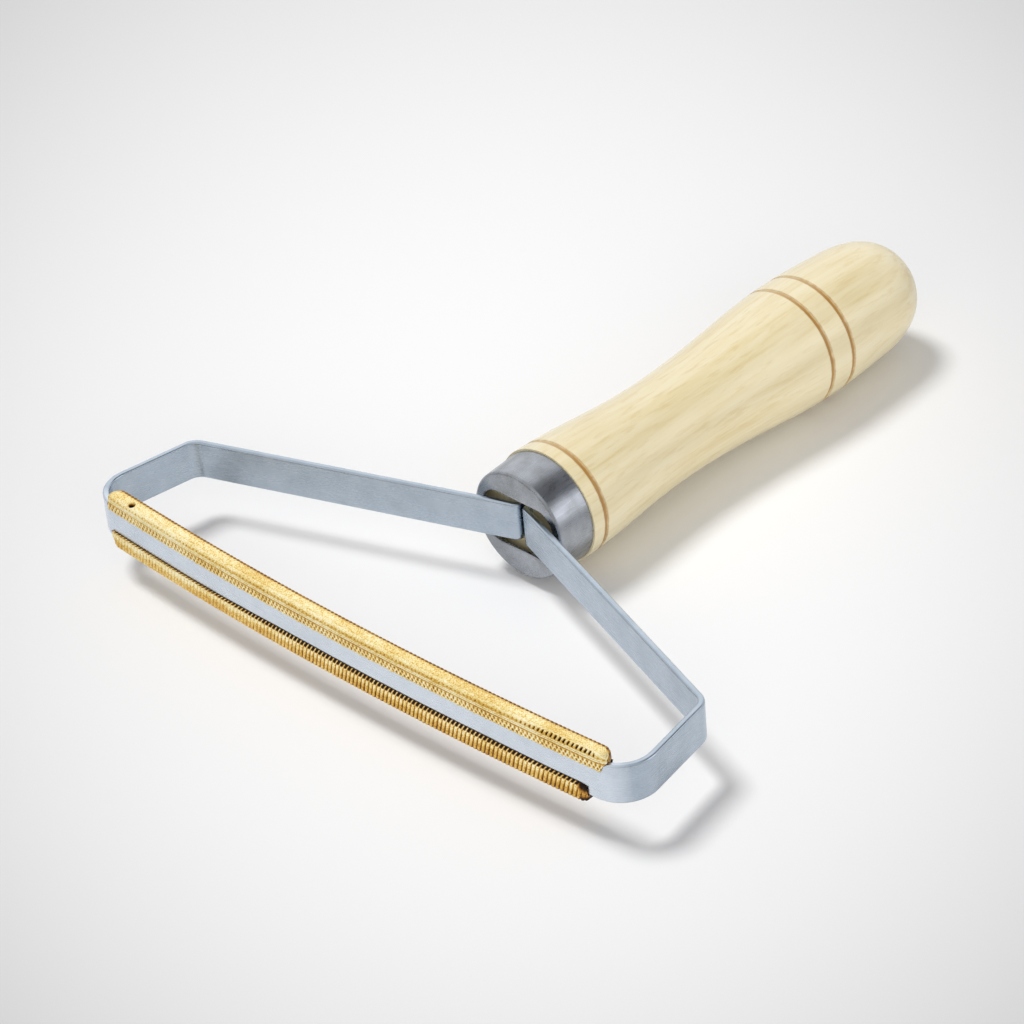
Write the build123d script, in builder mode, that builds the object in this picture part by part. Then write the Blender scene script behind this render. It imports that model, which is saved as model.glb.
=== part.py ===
"""Hand-held lint comb: a bent steel strip frame with two ribbed brass combs, on a turned wooden handle.

The handle lies along Y with its butt towards +Y, and the combed front bar lies across it along X.
The origin is the centre of the bounding box's bottom face, with +Z up.
"""

import os
from math import asin, degrees, sqrt

from build123d import *

# Steel strip
strip_width = 10.0
strip_thickness = 1.6
strip_edge_round = 0.6

# Head frame, to the strip's centre line. Reaches are measured forward from the ferrule's front face.
head_reach = 57.85
front_half_width = 84.5
rear_half_width = 79.9
rear_reach = 26.4
bow_radius = 1060.0
front_bend_radius = 8.0
rear_bend_radius = 4.0

# Tangs: the strip's two ends, side by side in the handle
tang_gap = 1.1
tang_length = 36.0
tang_bend_depth = 1.3
tang_bend_radius = 1.4
mortise_clearance = 0.05
mortise_end_clearance = 1.0

# Brass combs, crimped along both edges of the front bar
comb_width = 4.75
comb_set_back = 1.025
comb_grip = 2.1
comb_height = 4.4
comb_corner_cut = 0.8
lower_comb_cut_back = 2.6
comb_lip_wall = 0.35
comb_lip_depth = 1.0
comb_slot_clearance = 0.05
rib_pitch = 1.15
rib_gap = 0.5
rib_depth = 0.3
rivet_hole_radius = 0.9
rivet_hole_depth = 1.2
rivet_hole_inset = 8.5

# Ferrule: a drawn steel cup with an oblong mouth for the tangs
ferrule_length = 9.9
ferrule_front_radius = 13.6
ferrule_rear_radius = 14.15
ferrule_wall = 0.9
ferrule_edge_round = 0.7
ferrule_mouth_width = 21.4
ferrule_mouth_height = 13.7
ferrule_mouth_corner = 4.6
ferrule_mouth_round = 0.4
ferrule_clearance = 0.05

# Turned handle. Distances are measured back from the ferrule's front face.
spigot_clearance = 0.1
collar_radius = 14.6
waist_distance = 41.0
waist_radius = 12.7
swell_distance = 71.5
swell_radius = 13.7
bulge_distance = 98.5
bulge_radius = 15.6
shoulder_distance = 113.0
shoulder_radius = 15.05
butt_distance = 134.3
groove_distances = (14.0, 92.6, 100.1)
groove_width = 1.3
groove_depth = 0.4

# The handle's spigot starts just behind the strip's bends, and the combs end where the front bends begin.
spigot_recess = tang_bend_depth + strip_thickness + spigot_clearance
comb_half_length = front_half_width - front_bend_radius

# The part is centred front to back, and its handle's bulge stands on Z = 0.
front_overhang = head_reach + comb_width / 2 - comb_set_back
ferrule_y = (front_overhang - butt_distance) / 2
axis_origin = (0, ferrule_y, bulge_radius)
handle_axis = Axis(axis_origin, (0, 1, 0))
top_plane = Plane(origin=axis_origin, x_dir=(1, 0, 0), z_dir=(0, 0, 1))
side_plane = Plane(origin=axis_origin, x_dir=(0, 1, 0), z_dir=(1, 0, 0))
front_plane = Plane(origin=axis_origin, x_dir=(1, 0, 0), z_dir=(0, 1, 0))

# The bar bows forward on a vertical axis behind the part.
bow_axis = Axis((0, ferrule_y - head_reach + bow_radius, bulge_radius), (0, 0, 1))
front_corner_reach = head_reach - bow_radius + sqrt(bow_radius**2 - front_half_width**2)

# The upper comb's section, measured back from the ferrule's front face and up from the handle's axis
comb_y = comb_set_back - head_reach
comb_lip_height = strip_width / 2 - comb_grip
comb_crest_height = comb_lip_height + comb_height
comb_half_angle = degrees(asin(comb_half_length / bow_radius))


def ferrule_radius(distance):
    """Outer radius of the tapered ferrule at a distance behind its front face."""
    taper = (ferrule_rear_radius - ferrule_front_radius) / ferrule_length
    return ferrule_front_radius + taper * distance


def tapered_profile(start, end, inset):
    """Half section of a solid that follows the ferrule's taper, inset from its outside."""
    Polyline(
        (start, 0),
        (start, ferrule_radius(start) - inset),
        (end, ferrule_radius(end) - inset),
        (end, 0),
        close=True,
    )


def comb_outline(inset):
    """Outer section of the upper comb: two sides under a flat crest with its corners cut off."""
    half_width = comb_width / 2 - inset
    crest_height = comb_crest_height - inset
    Polyline(
        (comb_y - half_width, comb_lip_height),
        (comb_y - half_width, crest_height - comb_corner_cut),
        (comb_y - half_width + comb_corner_cut, crest_height),
        (comb_y + half_width - comb_corner_cut, crest_height),
        (comb_y + half_width, crest_height - comb_corner_cut),
        (comb_y + half_width, comb_lip_height),
        close=True,
    )


os.makedirs("parts", exist_ok=True)

# Frame strip: tang, arm, side and half of the bowed front bar, mirrored to the other side
with BuildPart() as frame_strip:
    with BuildSketch(top_plane):
        with BuildLine() as half_path:
            tang_x = (tang_gap + strip_thickness) / 2
            tang = Line((tang_x, tang_length), (tang_x, tang_bend_depth))
            arm = Line(tang @ 1, (rear_half_width, -rear_reach))
            side = Line(arm @ 1, (front_half_width, -front_corner_reach))
            RadiusArc(side @ 1, (0, -head_reach), bow_radius)
            bends = (
                (tang @ 1, tang_bend_radius),
                (arm @ 1, rear_bend_radius),
                (side @ 1, front_bend_radius),
            )
            for corner, radius in bends:
                fillet(half_path.vertices().sort_by_distance(corner)[0], radius)
        trace(half_path.edges(), line_width=strip_thickness)
        mirror(about=Plane.YZ)
    extrude(amount=strip_width / 2, both=True)
    flat_edges = frame_strip.edges().group_by(Axis.Z)
    fillet(flat_edges[0] + flat_edges[-1], strip_edge_round)

frame_strip.part.label = "frame_strip"
export_step(frame_strip.part, "parts/frame_strip.step")

# Ferrule
ferrule_inset = ferrule_wall + ferrule_clearance
with BuildPart() as ferrule:
    with BuildSketch(side_plane):
        with BuildLine():
            tapered_profile(0, ferrule_length, 0)
        make_face()
    revolve(axis=handle_axis)
    fillet(ferrule.edges().group_by(Axis.Y)[0], ferrule_edge_round)
    with BuildSketch(side_plane):
        with BuildLine():
            tapered_profile(ferrule_wall, ferrule_length, ferrule_wall)
        make_face()
    revolve(axis=handle_axis, mode=Mode.SUBTRACT)
    with BuildSketch(front_plane):
        RectangleRounded(ferrule_mouth_width, ferrule_mouth_height, ferrule_mouth_corner)
    extrude(amount=ferrule_wall, mode=Mode.SUBTRACT)
    fillet(ferrule.faces().sort_by(Axis.Y)[0].inner_wires()[0].edges(), ferrule_mouth_round)

ferrule.part.label = "ferrule"
export_step(ferrule.part, "parts/ferrule.step")

# Handle: the spigot fits the ferrule, and the mortise fits both tangs
groove_centres = []
with BuildPart() as handle:
    with BuildSketch(side_plane):
        with BuildLine():
            tapered_profile(spigot_recess, ferrule_length, ferrule_inset)
        make_face()
        with BuildLine():
            grip = Spline(
                (ferrule_length, collar_radius),
                (waist_distance, waist_radius),
                (swell_distance, swell_radius),
                (bulge_distance, bulge_radius),
                tangents=((1, 0), (1, 0)),
            )
            butt = Spline(
                grip @ 1,
                (shoulder_distance, shoulder_radius),
                (butt_distance, 0),
                tangents=((1, 0), (0, -1)),
            )
            for distance in groove_distances:
                surface = butt if distance > bulge_distance else grip
                radial_line = IntersectingLine((distance, 0), (0, 1), surface, mode=Mode.PRIVATE)
                groove_centres.append(radial_line @ 1)
            Polyline(butt @ 1, (ferrule_length, 0), grip @ 0)
        make_face()
    revolve(axis=handle_axis)
    with BuildSketch(side_plane):
        with Locations(groove_centres):
            Ellipse(groove_width / 2, groove_depth)
    revolve(axis=handle_axis, mode=Mode.SUBTRACT)
    with BuildSketch(front_plane.offset(spigot_recess)):
        Rectangle(
            2 * (strip_thickness + mortise_clearance) + tang_gap,
            strip_width + 2 * mortise_clearance,
        )
    extrude(amount=tang_length + mortise_end_clearance - spigot_recess, mode=Mode.SUBTRACT)

handle.part.label = "handle"
export_step(handle.part, "parts/handle.step")

# One gap between two ribs: a thin slice of the skin that the ribs stand out from
with BuildPart() as rib_gap_tool:
    with BuildSketch(side_plane):
        with BuildLine():
            comb_outline(-rib_depth)
        make_face()
        with BuildLine():
            comb_outline(rib_depth)
        make_face(mode=Mode.SUBTRACT)
    extrude(amount=rib_gap / 2, both=True)

# Comb as it is pressed: one half, ribbed across, then mirrored to the other side
with BuildPart() as comb_blank:
    with BuildSketch(side_plane):
        with BuildLine():
            comb_outline(0)
        make_face()
        with Locations((-head_reach, comb_lip_height)):
            Rectangle(
                strip_thickness + 2 * comb_slot_clearance,
                comb_grip + comb_slot_clearance,
                align=(Align.CENTER, Align.MIN),
                mode=Mode.SUBTRACT,
            )
        with Locations((comb_y, comb_lip_height)):
            Rectangle(
                comb_width - 2 * comb_lip_wall,
                comb_lip_depth,
                align=(Align.CENTER, Align.MIN),
                mode=Mode.SUBTRACT,
            )
    revolve(axis=bow_axis, revolution_arc=comb_half_angle)
    rib_angle = degrees(rib_pitch / bow_radius)
    rib_gap_angles = [rib_angle * (rib + 0.5) for rib in range(int(comb_half_angle / rib_angle))]
    add([rib_gap_tool.part.rotate(bow_axis, angle) for angle in rib_gap_angles], mode=Mode.SUBTRACT)
    mirror(about=Plane.YZ)

# Upper comb: the blank with a small blind hole in its crest near the left end
with BuildPart() as upper_comb:
    add(comb_blank.part)
    hole_angle = degrees(asin((comb_half_length - rivet_hole_inset) / bow_radius))
    crest_plane = top_plane.offset(comb_crest_height)
    hole_mouth = Vertex(0, ferrule_y + comb_y, crest_plane.origin.Z).rotate(bow_axis, -hole_angle)
    with BuildSketch(crest_plane.move(Location(hole_mouth.center() - crest_plane.origin))):
        Circle(rivet_hole_radius)
    extrude(amount=-rivet_hole_depth, mode=Mode.SUBTRACT)

upper_comb.part.label = "upper_comb"
export_step(upper_comb.part, "parts/upper_comb.step")

# Lower comb: the same pressing, turned upside down on the strip's lower edge and cut back at its right end
with BuildPart() as lower_comb:
    mirror(comb_blank.part, about=top_plane)
    split(bisect_by=Plane.YZ.offset(comb_half_length - lower_comb_cut_back), keep=Keep.BOTTOM)

lower_comb.part.label = "lower_comb"
export_step(lower_comb.part, "parts/lower_comb.step")
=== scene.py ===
from math import atan2, copysign, cos, pi, radians, sin, sqrt

import bmesh
import bpy
from mathutils import Matrix, Vector


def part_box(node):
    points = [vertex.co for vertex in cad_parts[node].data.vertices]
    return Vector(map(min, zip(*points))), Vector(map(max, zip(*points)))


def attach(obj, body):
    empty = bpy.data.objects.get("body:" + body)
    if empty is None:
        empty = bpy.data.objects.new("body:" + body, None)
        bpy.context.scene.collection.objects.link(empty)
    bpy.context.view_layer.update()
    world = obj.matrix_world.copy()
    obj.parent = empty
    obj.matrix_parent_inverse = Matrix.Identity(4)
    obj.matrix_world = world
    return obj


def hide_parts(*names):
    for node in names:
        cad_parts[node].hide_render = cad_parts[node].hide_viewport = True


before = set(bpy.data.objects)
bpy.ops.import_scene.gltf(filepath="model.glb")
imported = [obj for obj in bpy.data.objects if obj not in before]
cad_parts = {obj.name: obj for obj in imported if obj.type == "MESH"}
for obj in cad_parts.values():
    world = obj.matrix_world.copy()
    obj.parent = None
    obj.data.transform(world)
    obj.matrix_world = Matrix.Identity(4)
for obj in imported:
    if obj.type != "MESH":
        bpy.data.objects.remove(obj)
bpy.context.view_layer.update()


# Handle: turned from one piece of pale birch, with three ring grooves scorched brown as it spun,
# and dipped in a clear satin lacquer. Its front end is cut down to a spigot that the ferrule is
# driven on to, and the strip's two ends are driven into it.
def linear(colour):
    """One sRGB hex colour as the linear RGBA that a socket takes."""
    levels = [int(colour[i:i + 2], 16) / 255 for i in (1, 3, 5)]
    return tuple(c / 12.92 if c <= 0.04045 else ((c + 0.055) / 1.055) ** 2.4 for c in levels) + (1.0,)


def add(material, kind, inputs=None, stops=None, **settings):
    """Adds a shader node: its properties, its ramp's stops, and its inputs' values or links."""
    node = material.node_tree.nodes.new(kind)
    for name, value in settings.items():
        setattr(node, name, value)
    if stops:
        elements = node.color_ramp.elements
        while len(elements) < len(stops):
            elements.new(0.5)
        for element, (position, colour) in zip(elements, stops):
            element.position = position
            element.color = linear(colour)
    for name, value in (inputs or {}).items():
        if isinstance(value, bpy.types.NodeSocket):
            material.node_tree.links.new(value, node.inputs[name])
        else:
            node.inputs[name].default_value = value
    return node


def new_material(name):
    """An empty node material with only its output."""
    material = bpy.data.materials.new(name)
    material.use_nodes = True
    material.node_tree.nodes.clear()
    return material, material.node_tree.nodes.new("ShaderNodeOutputMaterial")


# Lacquered birch: creamy and close-grained, with tan streaks 1 to 2 mm wide that run most of the
# grip's length, short darker flecks between them, and a soft shine from the lacquer over it.
birch, birch_out = new_material("lacquered_birch")
place = add(birch, "ShaderNodeTexCoord").outputs["Object"]
lengthwise = add(birch, "ShaderNodeMapping",
                 {"Vector": place, "Rotation": (0, 0, radians(4)), "Scale": (1, 0.05, 1)})
streaks = add(birch, "ShaderNodeTexNoise",
              {"Vector": lengthwise.outputs["Vector"], "Scale": 1 / 0.0026, "Detail": 4.0, "Roughness": 0.6,
               "Distortion": 0.3})
flecks_along = add(birch, "ShaderNodeMapping",
                   {"Vector": place, "Rotation": (0, 0, radians(7)), "Scale": (1, 0.11, 1)})
flecks = add(birch, "ShaderNodeTexNoise",
             {"Vector": flecks_along.outputs["Vector"], "Scale": 1 / 0.0009, "Detail": 3.0,
              "Roughness": 0.55})
clouds = add(birch, "ShaderNodeTexNoise",
             {"Vector": add(birch, "ShaderNodeMapping",
                            {"Vector": place, "Scale": (1, 0.45, 1)}).outputs["Vector"],
              "Scale": 1 / 0.018, "Detail": 2.0})
streak_colour = add(birch, "ShaderNodeValToRGB", {"Fac": streaks.outputs["Fac"]},
                    stops=[(0.30, "#DDC996"), (0.44, "#E6D6A9"), (0.58, "#EBDEB7"), (0.8, "#F0E5C5")])
fleck_mask = add(birch, "ShaderNodeMapRange",
                 {"Value": flecks.outputs["Fac"], "From Min": 0.34, "From Max": 0.46,
                  "To Min": 0.36, "To Max": 0.0})
flecked = add(birch, "ShaderNodeMixRGB",
              {"Fac": fleck_mask.outputs["Result"], "Color1": streak_colour.outputs["Color"],
               "Color2": linear("#D6BA7C")})
cloud_mask = add(birch, "ShaderNodeMapRange",
                 {"Value": clouds.outputs["Fac"], "From Min": 0.35, "From Max": 0.7,
                  "To Min": 0.0, "To Max": 0.5})
clouded = add(birch, "ShaderNodeMixRGB",
              {"Fac": cloud_mask.outputs["Result"], "Color1": flecked.outputs["Color"],
               "Color2": linear("#EFE3BF")})
# The grooves' distances behind the ferrule's front edge. Each is 1.3 mm wide and scorched brown.
ferrule_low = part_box("ferrule")[0]
groove_distances = (0.0140, 0.0926, 0.1001)
spot = add(birch, "ShaderNodeSeparateXYZ", {"Vector": place}).outputs
scorch_noise = add(birch, "ShaderNodeTexNoise", {"Vector": place, "Scale": 1 / 0.0014, "Detail": 3.0})
# The scorch is painted darker on the right, painted shade on the side away from the lamp, and paler on the
# lit left.
scorch_shade_side = add(birch, "ShaderNodeMapRange",
                {"Value": spot["X"], "From Min": -0.010, "From Max": 0.008, "To Min": 0.45, "To Max": 1.0})
scorched = clouded.outputs["Color"]
for distance in groove_distances:
    off_centre = add(birch, "ShaderNodeMath", {0: spot["Y"], 1: ferrule_low.y + distance},
                     operation="SUBTRACT")
    away = add(birch, "ShaderNodeMath", {0: off_centre.outputs[0]}, operation="ABSOLUTE")
    uneven = add(birch, "ShaderNodeMath",
                 {0: scorch_noise.outputs["Fac"], 1: 0.0006, 2: away.outputs[0]},
                 operation="MULTIPLY_ADD")
    burn = add(birch, "ShaderNodeMapRange",
               {"Value": uneven.outputs[0], "From Min": 0.0006, "From Max": 0.0012,
                "To Min": 1.0, "To Max": 0.0})
    strength = add(birch, "ShaderNodeMath", {0: burn.outputs["Result"], 1: scorch_shade_side.outputs["Result"]},
                   operation="MULTIPLY")
    scorched = add(birch, "ShaderNodeMixRGB",
                   {"Fac": strength.outputs[0], "Color1": scorched,
                    "Color2": linear("#AE8038")}).outputs["Color"]
grain_bump = add(birch, "ShaderNodeBump",
                 {"Height": flecks.outputs["Fac"], "Strength": 0.25, "Distance": 0.00008})
birch_surface = add(birch, "ShaderNodeBsdfPrincipled",
                    {"Base Color": scorched, "Roughness": 0.42, "IOR": 1.5,
                     "Normal": grain_bump.outputs["Normal"], "Coat Weight": 0.6, "Coat Roughness": 0.22})
birch.node_tree.links.new(birch_surface.outputs[0], birch_out.inputs["Surface"])
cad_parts["handle"].data.materials.clear()
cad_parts["handle"].data.materials.append(birch)


# Ferrule: a cup drawn from thin sheet steel, tumbled to a satin finish, with a crisp front edge
# and an oblong mouth. It keeps the handle's spigot from splitting.
satin_steel, satin_out = new_material("satin_drawn_steel")
place = add(satin_steel, "ShaderNodeTexCoord").outputs["Object"]
# Drawing leaves fine lines along the cup, and handling leaves it blotched.
drawn = add(satin_steel, "ShaderNodeTexNoise",
            {"Vector": add(satin_steel, "ShaderNodeMapping",
                           {"Vector": place, "Scale": (1, 0.08, 1)}).outputs["Vector"],
             "Scale": 1 / 0.0006, "Detail": 3.0})
blotches = add(satin_steel, "ShaderNodeTexNoise", {"Vector": place, "Scale": 1 / 0.004, "Detail": 3.0})
satin_colour = add(satin_steel, "ShaderNodeValToRGB", {"Fac": blotches.outputs["Fac"]},
                   stops=[(0.3, "#8F9295"), (0.5, "#9B9FA5"), (0.7, "#A6AAB0")])
satin_rough = add(satin_steel, "ShaderNodeMapRange",
                  {"Value": drawn.outputs["Fac"], "From Min": 0.3, "From Max": 0.7,
                   "To Min": 0.24, "To Max": 0.34})
satin_bump = add(satin_steel, "ShaderNodeBump",
                 {"Height": drawn.outputs["Fac"], "Strength": 0.3, "Distance": 0.00001})
satin_surface = add(satin_steel, "ShaderNodeBsdfPrincipled",
                    {"Base Color": satin_colour.outputs["Color"], "Metallic": 1.0,
                     "Roughness": satin_rough.outputs["Result"], "Normal": satin_bump.outputs["Normal"]})
satin_steel.node_tree.links.new(satin_surface.outputs[0], satin_out.inputs["Surface"])
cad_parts["ferrule"].data.materials.clear()
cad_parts["ferrule"].data.materials.append(satin_steel)


# Frame strip: flat steel 10 by 1.6 mm with rolled edges, bent cold to the frame's shape after it was
# zinc plated. Its ends are turned into the handle side by side.
strip_low, strip_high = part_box("frame_strip")
zinc_steel, zinc_out = new_material("zinc_plated_strip")
place = add(zinc_steel, "ShaderNodeTexCoord").outputs["Object"]
# Zinc dries in faint patches, and rolling leaves fine lines along the strip.
spangle = add(zinc_steel, "ShaderNodeTexNoise",
              {"Vector": place, "Scale": 1 / 0.006, "Detail": 5.0, "Roughness": 0.65})
rolled = add(zinc_steel, "ShaderNodeTexNoise",
             {"Vector": add(zinc_steel, "ShaderNodeMapping",
                            {"Vector": place, "Scale": (0.03, 0.03, 1)}).outputs["Vector"],
              "Scale": 1 / 0.0004, "Detail": 2.0})
zinc_colour = add(zinc_steel, "ShaderNodeValToRGB", {"Fac": spangle.outputs["Fac"]},
                  stops=[(0.3, "#A7B3BF"), (0.5, "#AEBAC6"), (0.7, "#B6C1CD")])
zinc_rough = add(zinc_steel, "ShaderNodeMapRange",
                 {"Value": rolled.outputs["Fac"], "From Min": 0.3, "From Max": 0.7,
                  "To Min": 0.25, "To Max": 0.31})
zinc_bump = add(zinc_steel, "ShaderNodeBump",
                {"Height": rolled.outputs["Fac"], "Strength": 0.12, "Distance": 0.000005})
# The front bar's face is painted brighter than the arms: painted light for the brighter reflection it
# catches.
front_face_light = add(zinc_steel, "ShaderNodeMapRange",
             {"Value": add(zinc_steel, "ShaderNodeSeparateXYZ", {"Vector": place}).outputs["Y"],
              "From Min": strip_low.y + 0.0067, "From Max": strip_low.y + 0.0035})
front_face_light_colour = add(zinc_steel, "ShaderNodeValToRGB", {"Fac": spangle.outputs["Fac"]},
                    stops=[(0.3, "#C9D2DC"), (0.5, "#D0D9E3"), (0.7, "#D6DFE9")])
zinc_with_front_light = add(zinc_steel, "ShaderNodeMixRGB",
                {"Fac": front_face_light.outputs["Result"], "Color1": zinc_colour.outputs["Color"],
                 "Color2": front_face_light_colour.outputs["Color"]})
zinc_surface = add(zinc_steel, "ShaderNodeBsdfPrincipled",
                   {"Base Color": zinc_with_front_light.outputs["Color"], "Metallic": 1.0,
                    "Roughness": zinc_rough.outputs["Result"], "Normal": zinc_bump.outputs["Normal"]})
zinc_steel.node_tree.links.new(zinc_surface.outputs[0], zinc_out.inputs["Surface"])
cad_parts["frame_strip"].data.materials.clear()
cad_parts["frame_strip"].data.materials.append(zinc_steel)


# Combs: thin brass pressed into a hollow ribbed bead and crimped over both edges of the bowed front
# bar. The ribs are what lifts the lint. The upper one's front flange is knurled, with two seam beads
# above it, and its crest is pebbled. A black beaded rim above the lower one's front lip is painted
# shade for the gap between the lip and the strip.
comb_low, comb_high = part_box("upper_comb")
lower_low, lower_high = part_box("lower_comb")
strip_half = 0.0008
comb_width = 0.00475
comb_shoulder = 0.0013
bow_radius = 1.060
bow_y = strip_low.y + strip_half + bow_radius
axis_z = (strip_low.z + strip_high.z) / 2
front_face = strip_low.y + strip_half - comb_low.y
rear_face = front_face - comb_width
middle = front_face - comb_width / 2
lip = comb_low.z - axis_z
crest = comb_high.z - axis_z
spring_line = crest - comb_shoulder
rib_pitch = 0.00115
# Heights up the upper comb's skin at which its flange, its seam beads, its slots and its pebbling end
flange_end = 0.0023
beads_end = 0.0038
slots_end = 0.0056
pebbles_end = 0.0080


def smooth(low, high, value):
    """0 below low, 1 above high, and a smooth step between."""
    t = min(max((value - low) / (high - low), 0.0), 1.0)
    return t * t * (3 - 2 * t)


def line(s, at, width):
    """1 on a line that runs along the comb, falling to 0 at its width on either side."""
    return max(0.0, 1 - ((s - at) / width) ** 2)


def pressed_ribs(u, depth):
    """How far the skin lies under the ribs' tops, and how deep in the valley that is, 0 to 1."""
    t = abs(2 * ((u / rib_pitch) % 1.0) - 1)
    valley = 1 - sqrt(max(1 - t ** 2.4, 0))
    return depth * valley, valley


def knurl(u, s, depth):
    """Diamond knurling: staggered rows of pits in a raised net."""
    a = sin(pi * (u / rib_pitch + s / 0.0018))
    b = sin(pi * (u / rib_pitch - s / 0.0018))
    pit = smooth(0.25, 0.85, abs(a * b))
    return depth * pit, pit


def upper_skin(u, s):
    """The upper comb's skin: knurled flange, two seam beads, slots, pebbled crest and toothed back.

    A skin gives how far a place is pressed in, and its shade: 0 burnished, 1 brown, above 1 black. The
    shade holds tarnish, painted highlights and painted shade."""
    # The skin is painted paler towards the left end, and the slots are open only near the right one
    left_paleness = 1 - smooth(-0.050, -0.010, u)
    if s < flange_end:
        cut, pit = knurl(u, s, 0.00022)
        fade = smooth(0.0, 0.0004, s)
        return 0.00012 + cut * fade, 0.05 + 0.55 * pit * fade
    if s < beads_end:
        beads = max(line(s, 0.00286, 0.00024), line(s, 0.00334, 0.00024))
        groove = line(s, 0.00246, 0.00026)
        # The seam beads are painted paler along their tops, a painted highlight
        shade = 0.28 - 0.16 * left_paleness - 0.46 * beads + 0.20 * groove
        return 0.00022 - 0.00020 * beads + 0.00006 * groove, shade
    if s < slots_end:
        opened = smooth(0.052, 0.067, u) * (1 - smooth(0.0755, 0.0762, u))
        end = 0.0045 + 0.0009 * opened
        slot = smooth(0.0, 0.6, cos(2 * pi * u / rib_pitch))
        slot *= smooth(beads_end, beads_end + 0.0002, s) * (1 - smooth(end - 0.0002, end, s))
        below = (1 - smooth(0.0040, 0.0052, s)) * (1 - 0.6 * left_paleness)
        # Open slots are painted near black inside as painted shade, and the band is painted darker towards
        # the beads as painted shade
        shade = 0.06 + 0.18 * below + (0.22 + 0.88 * opened) * slot
        return 0.00006 + (0.00008 + 0.00035 * opened) * slot, shade
    if s < pebbles_end:
        a = sin(pi * 2 * (u / rib_pitch + s / 0.0016))
        b = sin(pi * 2 * (u / rib_pitch - s / 0.0023))
        grain = 0.5 * abs(a) + 0.5 * abs(b)
        # A paler band along the middle of the crest's top is a painted highlight
        shade = 0.14 - 0.09 * line(s, 0.0067, 0.0013) + 0.16 * (1 - grain)
        return 0.00006 * (1 - grain), shade
    cut, valley = pressed_ribs(u, 0.00034)
    grow = smooth(pebbles_end, pebbles_end + 0.0003, s)
    return cut * grow, 0.14 + (0.35 + 0.7 * valley) * grow


def lower_skin(u, s):
    """The lower comb's skin: a black beaded rim, painted shade for the gap between its lip and the strip,
    then ribs from the front lip round to the back.
    """
    # The ribs lean a little and are pressed deeper towards the right. That end is darkened partly by
    # tarnish and partly by painted shade for the gap at its open end
    strength = 0.18 + 0.82 * smooth(-0.040, 0.004, u)
    lean = u + 0.25 * s
    cut, valley = pressed_ribs(lean, 0.00036 * (0.4 + 0.6 * strength))
    # Tarnish and painted shade at the right end, palest along a band 2 mm up the skin
    dark_end_tarnish_and_shade = smooth(0.0704, 0.0722, u) * (0.45 + 0.8 * (1 - line(s, 0.0020, 0.0016)))
    # The black band with pale beads past the lip is painted shade for the gap between the lip and the
    # strip; it is browner towards the left end.
    if s < 0.0003:
        bead = smooth(0.1, 0.9, cos(2 * pi * (lean + 0.7 * s) / rib_pitch))
        rim = 1.25 - 1.15 * bead * smooth(-0.0008, -0.0006, s)
        rim *= 0.5 + 0.5 * smooth(-0.055, -0.020, u)
        below = smooth(0.0, 0.0003, s)
        return cut * below, max(rim * (1 - below * (1 - valley)), dark_end_tarnish_and_shade)
    # The ribs' sides are painted darker further down the front, painted shade where the rounded face turns
    # away from the light, and a little darker towards the right
    sides = 0.24 * smooth(0.0008, 0.0024, s) - 0.02 + 0.05 * smooth(-0.030, 0.050, u)
    return cut, max(sides + valley * (0.10 + 0.90 * strength), dark_end_tarnish_and_shade)


def shade_rim_reach(u):
    """How much of the black rim's full height stands at a place along the lower comb. The rim is painted
    shade for the gap between the lip and the strip.
    """
    return 0.10 + 0.90 * smooth(-0.050, -0.012, u) - 0.30 * smooth(0.045, 0.062, u)


def comb_section(bm, squareness, rim):
    """A comb's section, upright on its lip. Each corner keeps how far forward and how far up it is."""
    forward = bm.verts.layers.float.new("forward")
    up = bm.verts.layers.float.new("up")
    inner = bm.verts.layers.float.new("inner")

    # Crest: half a ring drawn out to a squarish arch
    ring = bmesh.ops.create_circle(bm, segments=80, radius=1.0)["verts"]
    bmesh.ops.delete(bm, geom=[v for v in ring if v.co.y < -1e-4], context="VERTS")
    for v in bm.verts:
        across = copysign(abs(v.co.x) ** squareness, v.co.x)
        rise = max(v.co.y, 0.0) ** squareness
        v.co = (middle + comb_width / 2 * across, spring_line + (crest - spring_line) * rise, 0)
    ends = sorted((v for v in bm.verts if len(v.link_edges) == 1), key=lambda v: v.co.x)

    # Below it, a chain of corners from its back end, round the slot for the strip, to its front end
    wall = 0.00035
    slot = 0.00085
    slot_top = lip + 0.00215
    hollow_top = lip + 0.0010
    lip_round = lip + 0.00016
    lip_edge = [(front_face - 0.5 * wall, lip)]
    if rim:
        lip_edge = [(slot, lip - rim), (slot + 0.00012, lip - rim)]
    chain = [
        (rear_face, lip_round), (rear_face + 0.5 * wall, lip), (rear_face + wall, lip_round),
        (rear_face + wall, hollow_top), (-slot, hollow_top), (-slot, slot_top),
        (slot, slot_top), (slot, hollow_top - 0.0001), (front_face - wall, hollow_top),
        (front_face - wall, lip_round), *lip_edge, (front_face, lip_round),
    ]
    corners = [ends[0]] + [bm.verts.new((f, h, 0)) for f, h in chain] + [ends[1]]
    for v in corners[3:-3]:
        v[inner] = 1.0

    # The flanges are cut finely enough for the knurl and the ribs
    sides = [bm.edges.new(pair) for pair in zip(corners, corners[1:])]
    bmesh.ops.subdivide_edges(bm, edges=[sides[-1]], cuts=22)
    bmesh.ops.subdivide_edges(bm, edges=[sides[0]] + ([sides[-2]] if rim else []), cuts=6)
    bmesh.ops.subdivide_edges(bm, edges=[sides[3], sides[9]], cuts=2)
    for v in bm.verts:
        v[forward], v[up] = v.co.x, v.co.y
        v.co = (0, bow_y - bow_radius - v[forward], axis_z + v[up])


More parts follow.
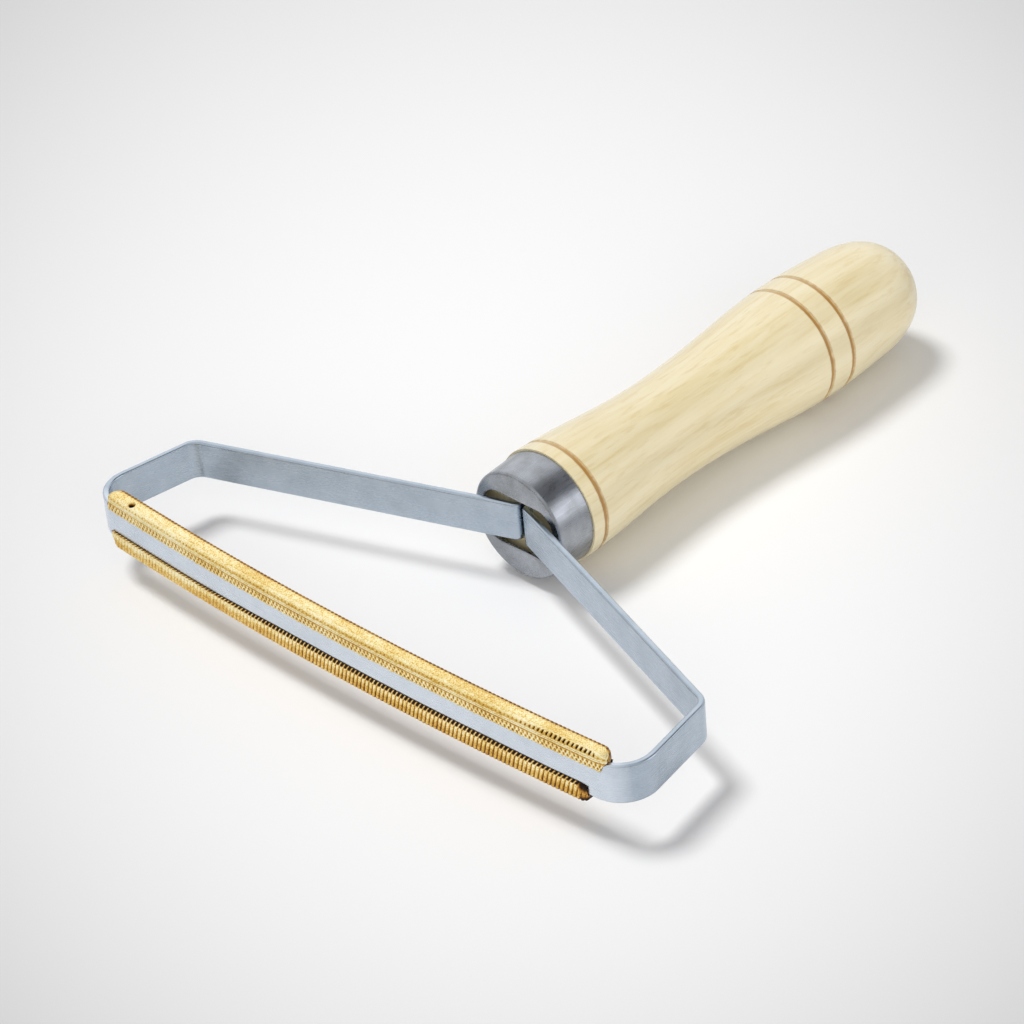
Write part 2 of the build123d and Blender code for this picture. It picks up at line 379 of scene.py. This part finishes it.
def sweep_along_bow(bm, low_x, high_x):
    """Turns the section about the bow's axis, from the comb's left end to its right, and closes both."""
    strides = 32
    rib_step = 0.000146
    start = low_x / bow_radius
    turn = (high_x - low_x) / bow_radius
    bmesh.ops.rotate(bm, verts=bm.verts, cent=(0, bow_y, 0), matrix=Matrix.Rotation(start, 3, "Z"))
    first = list(bm.edges)
    last = bmesh.ops.spin(bm, geom=bm.verts[:] + bm.edges[:], cent=(0, bow_y, 0), axis=(0, 0, 1),
                          dvec=(0, 0, 0), angle=turn, steps=strides, use_merge=False,
                          use_duplicate=False)["geom_last"]
    # Each long stride is then cut into steps short enough for the ribs
    lengthwise = [e for e in bm.edges if abs(e.verts[0].co.x - e.verts[1].co.x) > 0.001]
    bmesh.ops.subdivide_edges(bm, edges=lengthwise,
                              cuts=round((high_x - low_x) / strides / rib_step) - 1)
    bmesh.ops.contextual_create(bm, geom=first)
    bmesh.ops.contextual_create(bm, geom=[e for e in last if isinstance(e, bmesh.types.BMEdge)])
    bmesh.ops.recalc_face_normals(bm, faces=bm.faces)
    bm.normal_update()


def press_skin(bm, skin, hole):
    """Looks up each corner's place on the skin, the shift that its pattern gives, and its shade.

    The skin is measured by u, the way along the bow, and s, the way up the front flange, across the
    crest and down the back. A hole is its place along and across the skin, and its radius."""
    forward = bm.verts.layers.float["forward"]
    up = bm.verts.layers.float["up"]
    inner = bm.verts.layers.float["inner"]
    pressed = {}
    for v in bm.verts:
        f, h = v[forward], v[up]
        u = bow_radius * atan2(v.co.x, bow_y - v.co.y)
        s = (h - lip if f > middle else 2 * crest - lip - h) + front_face - f
        cut, shade = skin(u, s)
        outward = v.normal.copy()
        # The pressing's thin walls follow the ribs, so a lip's inner side moves with its outer side
        if v[inner]:
            outward = -outward if lip < h < lip + 0.0009 else Vector()
            # The inner side is painted brown, painted shade inside the hollow pressing
            shade = 1.0
        elif hole:
            # A round hole is punched in the crest, and its inside is painted black as painted shade
            hole_u, hole_s, hole_radius = hole
            off = sqrt((u - hole_u) ** 2 + (s - hole_s) ** 2)
            punched = 1 - smooth(hole_radius - 0.0001, hole_radius + 0.0002, off)
            cut, shade = max(cut, 0.0011 * punched), max(shade, 1.6 * punched)
        pressed[v] = (u, s, -cut * outward, cut, shade)
    return pressed


def brass_comb(name, skin, squareness, half_turn, low_x, high_x, left_dome, right_dome,
               hole=None, rim=0.0):
    """One comb: its section is swept along the bow, ribbed and knurled, and rounded at its ends.

    A dome is an end's length, how far it is pinched and sunk, and the slant of its lower edge. A rim
    is the height of the black band, painted shade, in front of the front lip."""
    bm = bmesh.new()
    comb_section(bm, squareness, rim)
    sweep_along_bow(bm, low_x, high_x)
    forward = bm.verts.layers.float["forward"]
    up = bm.verts.layers.float["up"]
    inner = bm.verts.layers.float["inner"]
    uv = bm.loops.layers.uv.new("skin")
    # Each corner's shade, tarnish with painted highlights and painted shade, is kept in the hollow
    # attribute
    hollow = bm.verts.layers.float.new("hollow")
    pressed = press_skin(bm, skin, hole)
    for v, (u, s, shift, cut, shade) in pressed.items():
        f, h = v[forward], v[up]
        to_left, to_right = u - low_x, high_x - u
        length, pinch, sink, slant = left_dome if to_left < to_right else right_dome
        # How far the end has closed here: 0 where the dome starts, 1 at its tip, on a quarter circle
        t = min(max(1 - min(to_left, to_right) / length, 0.0), 1.0)
        closed = 1 - sqrt(max(1 - t * t, 0.0))
        slanted = u - slant * closed * (1 - smooth(lip, lip + 0.0030, h))
        # Only the black rim, painted shade for the gap, stands past the lip. A corner right on the lip can
        # be taken for it by rounding, and is then left where it is
        if h < lip:
            h = lip + (h - lip) * shade_rim_reach(u) * (1 - closed)
        elif not v[inner]:
            # Lips curl in a little towards the strip, and the ends are closed over it like finger tips
            f -= copysign(0.00012 * max(1 - (h - lip) / 0.0013, 0.0) ** 2, f - middle)
            above = smooth(lip + 0.0017, lip + 0.0030, h)
            tip = copysign(0.0009 * (1 - above), f - middle)
            f += pinch * closed * (tip - f)
            h -= sink * closed * max(h - lip - 0.0022, 0.0)
            h += min(cut, 0.0003) * max(1 - (h - lip) / 0.0006, 0.0)
        angle = slanted / bow_radius
        reach = bow_radius + f
        on_bow = Vector((sin(angle) * reach, bow_y - cos(angle) * reach, axis_z + h))
        v.co = on_bow + (1 - closed) * shift
        v[hollow] = shade
    for face in bm.faces:
        for loop in face.loops:
            loop[uv].uv = pressed[loop.vert][:2]
        face.smooth = len(face.verts) == 4
    if half_turn:
        bmesh.ops.scale(bm, vec=(1, 1, -1), verts=bm.verts,
                        space=Matrix.Translation((0, 0, -axis_z)))
        bmesh.ops.reverse_faces(bm, faces=bm.faces)
    mesh = bpy.data.meshes.new(name)
    bm.to_mesh(mesh)
    bm.free()
    piece = bpy.data.objects.new(name, mesh)
    bpy.context.scene.collection.objects.link(piece)
    return piece


# Pressed brass: pale gold where the ribs' tops are burnished, deeper gold on their sides, and brown
# to black where tarnish stays in the hollows. Painted highlights pale the seam beads and the crest,
# and painted shade darkens the lower comb's sides and blackens the rim, slots, hole and open end.
brass, brass_out = new_material("pressed_brass")
# The hollow attribute holds tarnish, painted highlights and painted shade
hollow_shade = add(brass, "ShaderNodeAttribute", attribute_name="hollow").outputs["Fac"]
skin_uv = add(brass, "ShaderNodeUVMap", uv_map="skin").outputs["UV"]
pebble = add(brass, "ShaderNodeTexVoronoi", {"Vector": skin_uv, "Scale": 1 / 0.00045, "Randomness": 0.9},
             voronoi_dimensions="2D").outputs["Distance"]
grit = add(brass, "ShaderNodeTexNoise",
           {"Vector": skin_uv, "Scale": 1 / 0.0012, "Detail": 4.0, "Roughness": 0.7},
           noise_dimensions="2D")
patches = add(brass, "ShaderNodeTexNoise", {"Vector": skin_uv, "Scale": 1 / 0.011, "Detail": 2.0},
              noise_dimensions="2D")
gaps = add(brass, "ShaderNodeMapRange",
           {"Value": pebble, "From Min": 0.30, "From Max": 0.75, "To Min": 0.0, "To Max": 0.20})
specks = add(brass, "ShaderNodeMapRange",
             {"Value": grit.outputs["Fac"], "From Min": 0.3, "From Max": 0.7,
              "To Min": 0.08, "To Max": -0.10})
worn = add(brass, "ShaderNodeMapRange",
           {"Value": patches.outputs["Fac"], "From Min": 0.35, "From Max": 0.65,
            "To Min": 0.08, "To Max": -0.04})
tarnish_and_shade = hollow_shade
for layer in (gaps, specks, worn):
    tarnish_and_shade = add(brass, "ShaderNodeMath", {0: tarnish_and_shade, 1: layer.outputs["Result"]},
                  operation="ADD").outputs[0]
tone = add(brass, "ShaderNodeValToRGB", {"Fac": tarnish_and_shade},
           stops=[(0.0, "#FFF6D4"), (0.14, "#F5E5AA"), (0.34, "#E2BB5C"), (0.55, "#BE8C3E"),
                  (0.8, "#84561F"), (1.0, "#4A2E14")])
# Shades near and above 1 turn black: painted shade in the rim, slots, hole, inside the pressing and at the
# lower comb's end, with tarnish there and in the deepest valleys
black_shade_and_tarnish = add(brass, "ShaderNodeMapRange", {"Value": hollow_shade, "From Min": 0.95, "From Max": 1.25})
blackened = add(brass, "ShaderNodeMixRGB",
                {"Fac": black_shade_and_tarnish.outputs["Result"], "Color1": tone.outputs["Color"],
                 "Color2": linear("#2A211B")})
pebble_bump = add(brass, "ShaderNodeBump", {"Height": pebble, "Strength": 0.6, "Distance": 0.00006},
                  invert=True)
brass_bump = add(brass, "ShaderNodeBump",
                 {"Height": grit.outputs["Fac"], "Strength": 0.4, "Distance": 0.00006,
                  "Normal": pebble_bump.outputs["Normal"]})
brass_surface = add(brass, "ShaderNodeBsdfPrincipled",
                    {"Base Color": blackened.outputs["Color"], "Metallic": 1.0, "Roughness": 0.46,
                     "Normal": brass_bump.outputs["Normal"]})
brass.node_tree.links.new(brass_surface.outputs[0], brass_out.inputs["Surface"])

# The upper comb runs a little past the start of the bend on the right, and has a hole 8 mm from its
# left end.
upper = brass_comb("ribbed_upper_comb", upper_skin, 0.8, False, comb_low.x, comb_high.x + 0.0021,
                   (0.0020, 0.7, 0.2, 0.0), (0.0030, 1.0, 0.5, 0.0016),
                   hole=(comb_low.x + 0.0080, 0.0060, 0.00075))
lower = brass_comb("ribbed_lower_comb", lower_skin, 0.5, True, lower_low.x, lower_high.x - 0.0004,
                   (0.0020, 0.7, 0.5, 0.0), (0.0024, 0.4, 0.6, 0.0), rim=0.0008)
for piece, node in ((upper, "upper_comb"), (lower, "lower_comb")):
    piece.data.materials.append(brass)
    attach(piece, "root")
    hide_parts(node)


# Floor: a plain table top covered in white paper. Its colour is a painted pool of light, brightest
# under the tool and falling off to pale grey away from it. The bright middle is laid out to look round
# from where the tool is looked at.
paper, paper_out = new_material("white_paper")
place = add(paper, "ShaderNodeTexCoord").outputs["Object"]
light_pool_centre = Vector((-0.0212, ferrule_low.y + 0.0184, 0))
turned = add(paper, "ShaderNodeMapping",
             {"Vector": place, "Location": light_pool_centre, "Rotation": (0, 0, radians(46.9)),
              "Scale": (1, 1 / 0.572, 1)}, vector_type="TEXTURE")
from_centre = add(paper, "ShaderNodeVectorMath", {0: turned.outputs["Vector"]}, operation="LENGTH")
far_side = add(paper, "ShaderNodeSeparateXYZ", {"Vector": turned.outputs["Vector"]})
spread = add(paper, "ShaderNodeMath", {0: far_side.outputs["Y"], 1: 1.61, 2: 1.0},
             operation="MULTIPLY_ADD")
seen_distance = add(paper, "ShaderNodeMath", {0: from_centre.outputs["Value"], 1: spread.outputs[0]},
                    operation="DIVIDE")
squared = add(paper, "ShaderNodeMath", {0: seen_distance.outputs[0], 1: 2.0}, operation="POWER")
# The painted pool of light, brightest at its centre
light_pool_level = add(paper, "ShaderNodeMapRange",
            {"Value": squared.outputs[0], "From Min": 0.0, "From Max": 0.0337,
             "To Min": 0.985, "To Max": 0.60})
paper_surface = add(paper, "ShaderNodeBsdfDiffuse",
                    {"Color": add(paper, "ShaderNodeCombineColor",
                                  {"Red": light_pool_level.outputs["Result"], "Green": light_pool_level.outputs["Result"],
                                   "Blue": light_pool_level.outputs["Result"]}).outputs["Color"]})
paper.node_tree.links.new(paper_surface.outputs[0], paper_out.inputs["Surface"])
bm = bmesh.new()
bmesh.ops.create_circle(bm, cap_ends=True, segments=96, radius=4.0)
floor_mesh = bpy.data.meshes.new("table_top")
bm.to_mesh(floor_mesh)
bm.free()
floor = bpy.data.objects.new("table_top", floor_mesh)
bpy.context.scene.collection.objects.link(floor)
floor_mesh.materials.append(paper)

# Light: a soft lamp overhead and to the left, in a plain pale room. The metal mirrors its walls, a
# softbox, a bright window and one dark gap, and a low white sheet lights the handle from the right.
world = bpy.data.worlds.new("white_room")
bpy.context.scene.world = world
world.use_nodes = True
world.node_tree.nodes.clear()
direction = add(world, "ShaderNodeTexCoord").outputs["Generated"]


def glow(way, near, far):
    """1 in one direction of the room, fading to 0 between two cosines."""
    towards = add(world, "ShaderNodeVectorMath", {0: direction, 1: Vector(way).normalized()},
                  operation="DOT_PRODUCT")
    return add(world, "ShaderNodeMapRange",
               {"Value": towards.outputs["Value"], "From Min": far, "From Max": near,
                "To Min": 0.0, "To Max": 1.0},
               interpolation_type="SMOOTHSTEP").outputs["Result"]


walls = add(world, "ShaderNodeMixRGB",
            {"Fac": glow((0.95, -0.2, 0.1), 1.0, 0.2), "Color1": (0.72, 0.72, 0.73, 1),
             "Color2": (0.54, 0.55, 0.56, 1)}).outputs["Color"]
gap = add(world, "ShaderNodeMixRGB",
          {"Fac": glow((0.36, 0.56, 0.74), 0.97, 0.88), "Color1": walls,
           "Color2": (0.12, 0.12, 0.13, 1)})
softbox = add(world, "ShaderNodeMixRGB",
              {"Fac": glow((-0.62, 0.55, 0.56), 0.95, 0.75), "Color1": gap.outputs["Color"],
               "Color2": (0.98, 0.98, 0.98, 1)})
window = add(world, "ShaderNodeMixRGB",
             {"Fac": glow((0.78, 0.56, 0.32), 0.985, 0.95), "Color1": softbox.outputs["Color"],
              "Color2": (1.6, 1.6, 1.65, 1)})
low_sheet = add(world, "ShaderNodeMixRGB",
                {"Fac": glow((0.80, -0.60, -0.05), 1.0, 0.45), "Color1": (0.39, 0.39, 0.40, 1),
                 "Color2": (2.2, 2.18, 2.15, 1)})
# Matt surfaces are lit by the sheet, metal mirrors the room, and the camera sees a plain backdrop.
paths = add(world, "ShaderNodeLightPath")
sky = add(world, "ShaderNodeBackground", {"Color": low_sheet.outputs["Color"], "Strength": 1.0})
mirrored = add(world, "ShaderNodeBackground", {"Color": window.outputs["Color"], "Strength": 1.25})
seen = add(world, "ShaderNodeBackground", {"Color": (0.72, 0.72, 0.72, 1), "Strength": 1.0})
glossy = add(world, "ShaderNodeMixShader",
             {0: paths.outputs["Is Glossy Ray"], 1: sky.outputs[0], 2: mirrored.outputs[0]})
pick = add(world, "ShaderNodeMixShader",
           {0: paths.outputs["Is Camera Ray"], 1: glossy.outputs[0], 2: seen.outputs[0]})
add(world, "ShaderNodeOutputWorld", {"Surface": pick.outputs[0]})

lamp_data = bpy.data.lights.new("overhead_lamp", "SUN")
lamp_data.energy = 0.55 * pi
lamp_data.angle = radians(18)
lamp = bpy.data.objects.new("overhead_lamp", lamp_data)
lamp.visible_glossy = False
lamp.rotation_euler = Vector((-0.42, -0.08, 1.0)).to_track_quat("Z", "Y").to_euler()
bpy.context.scene.collection.objects.link(lamp)

# Camera: a long lens, looking down on the tool from its front right.
camera_data = bpy.data.cameras.new("camera")
camera_data.lens = 133.2049
camera_data.sensor_width = 36
camera_data.clip_end = 50
camera = bpy.data.objects.new("camera", camera_data)
handle_low, handle_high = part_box("handle")
camera.location = (0.511930, ferrule_low.y - 0.480094, (handle_low.z + handle_high.z) / 2 + 0.492992)
camera.rotation_euler = [radians(a) for a in (55.0136, 4.4112, 43.8426)]
bpy.context.scene.collection.objects.link(camera)
bpy.context.scene.camera = camera
bpy.context.scene.view_settings.view_transform = "Standard"

bpy.context.view_layer.update()
